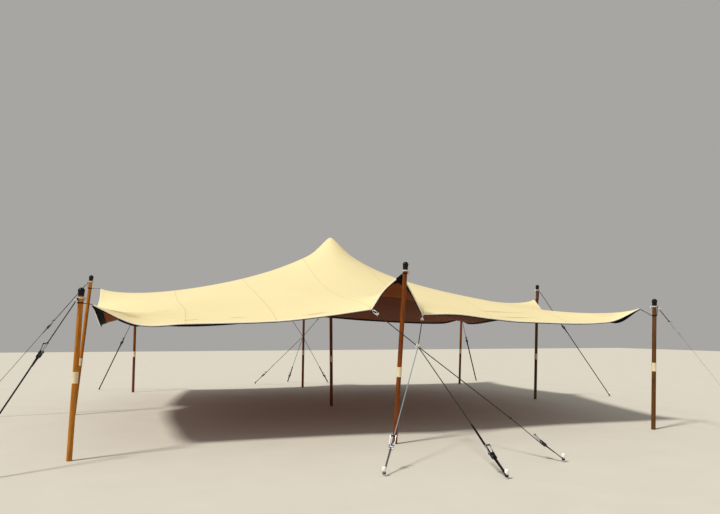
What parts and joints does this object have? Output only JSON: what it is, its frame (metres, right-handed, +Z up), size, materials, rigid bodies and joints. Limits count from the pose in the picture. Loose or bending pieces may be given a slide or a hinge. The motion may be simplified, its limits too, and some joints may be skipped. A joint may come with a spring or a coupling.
{
  "type": "stretch tent",
  "caption": "Square stretch fabric canopy over a centre pole and edge poles, held by guy ropes with ratchets and ground stakes.",
  "frame": {"origin": "on the ground under the foot of the centre pole", "axes": "+Z up, -Y out of the front side with the fan of three guys, +X to the right seen from the front"},
  "size_m": [14.9252, 14.1613, 3.93],
  "materials": {
    "canopy_fabric": "elastic polyester knit with a matt coating, sand beige",
    "varnished_wood": "round wooden poles, orange-brown, clear varnish",
    "black_rubber": "moulded, matt",
    "black_webbing": "woven polyester webbing",
    "guy_rope": "braided polyester rope",
    "zinc_steel": "pressed sheet, bright zinc plate"
  },
  "bodies": {
    "tent": {"canopy_strip_1": "canopy_fabric", "canopy_strip_2": "canopy_fabric", "canopy_strip_3": "canopy_fabric", "canopy_strip_4": "canopy_fabric", "canopy_strip_5": "canopy_fabric", "canopy_strip_6": "canopy_fabric", "canopy_strip_7": "canopy_fabric", "pole_centre": "varnished_wood", "pole_front_left": "varnished_wood", "pole_front": "varnished_wood", "pole_front_right": "varnished_wood", "pole_right": "varnished_wood", "pole_back_right": "varnished_wood", "pole_back": "varnished_wood", "pole_back_left": "varnished_wood", "pole_left": "varnished_wood", "crown_centre": "black_rubber", "ball_front_left": "black_rubber", "ball_front": "black_rubber", "ball_front_right": "black_rubber", "ball_right": "black_rubber", "ball_back_right": "black_rubber", "ball_back": "black_rubber", "ball_back_left": "black_rubber", "ball_left": "black_rubber", "tie_front_left": "black_webbing", "tie_front": "black_webbing", "tie_front_right": "black_webbing", "tie_right": "black_webbing", "tie_back_right": "black_webbing", "tie_back": "black_webbing", "tie_back_left": "black_webbing", "tie_left": "black_webbing", "bridle_front": "guy_rope", "fan_front_left": "guy_rope", "fan_front_middle": "guy_rope", "fan_front_right": "guy_rope", "bridle_back": "guy_rope", "fan_back_left": "guy_rope", "fan_back_middle": "guy_rope", "fan_back_right": "guy_rope", "guy_front_left": "guy_rope", "guy_front_right": "guy_rope", "guy_back_left": "guy_rope", "guy_back_right": "guy_rope", "guy_left": "guy_rope", "guy_right": "guy_rope"},
    "ratchet_handle_left": {"handle_fan_front_left": "zinc_steel"},
    "ratchet_handle_middle": {"handle_fan_front_middle": "zinc_steel"},
    "ratchet_handle_right": {"handle_fan_front_right": "zinc_steel"}
  },
  "joints": [
    {"name": "left_handle_hinge", "type": "hinge", "parent": "tent", "child": "ratchet_handle_left", "pos_m": [-0.71178, -6.37165, 0.30247], "axis": [0.8187, -0.5742, 0], "range_deg": [0, 150]},
    {"name": "middle_handle_hinge", "type": "hinge", "parent": "tent", "child": "ratchet_handle_middle", "pos_m": [0.36885, -6.88253, 0.23228], "axis": [0.9884, 0.1521, 0], "range_deg": [0, 150]},
    {"name": "right_handle_hinge", "type": "hinge", "parent": "tent", "child": "ratchet_handle_right", "pos_m": [1.3697, -6.37342, 0.2323], "axis": [0.6816, 0.7317, 0], "range_deg": [0, 150]}
  ]
}
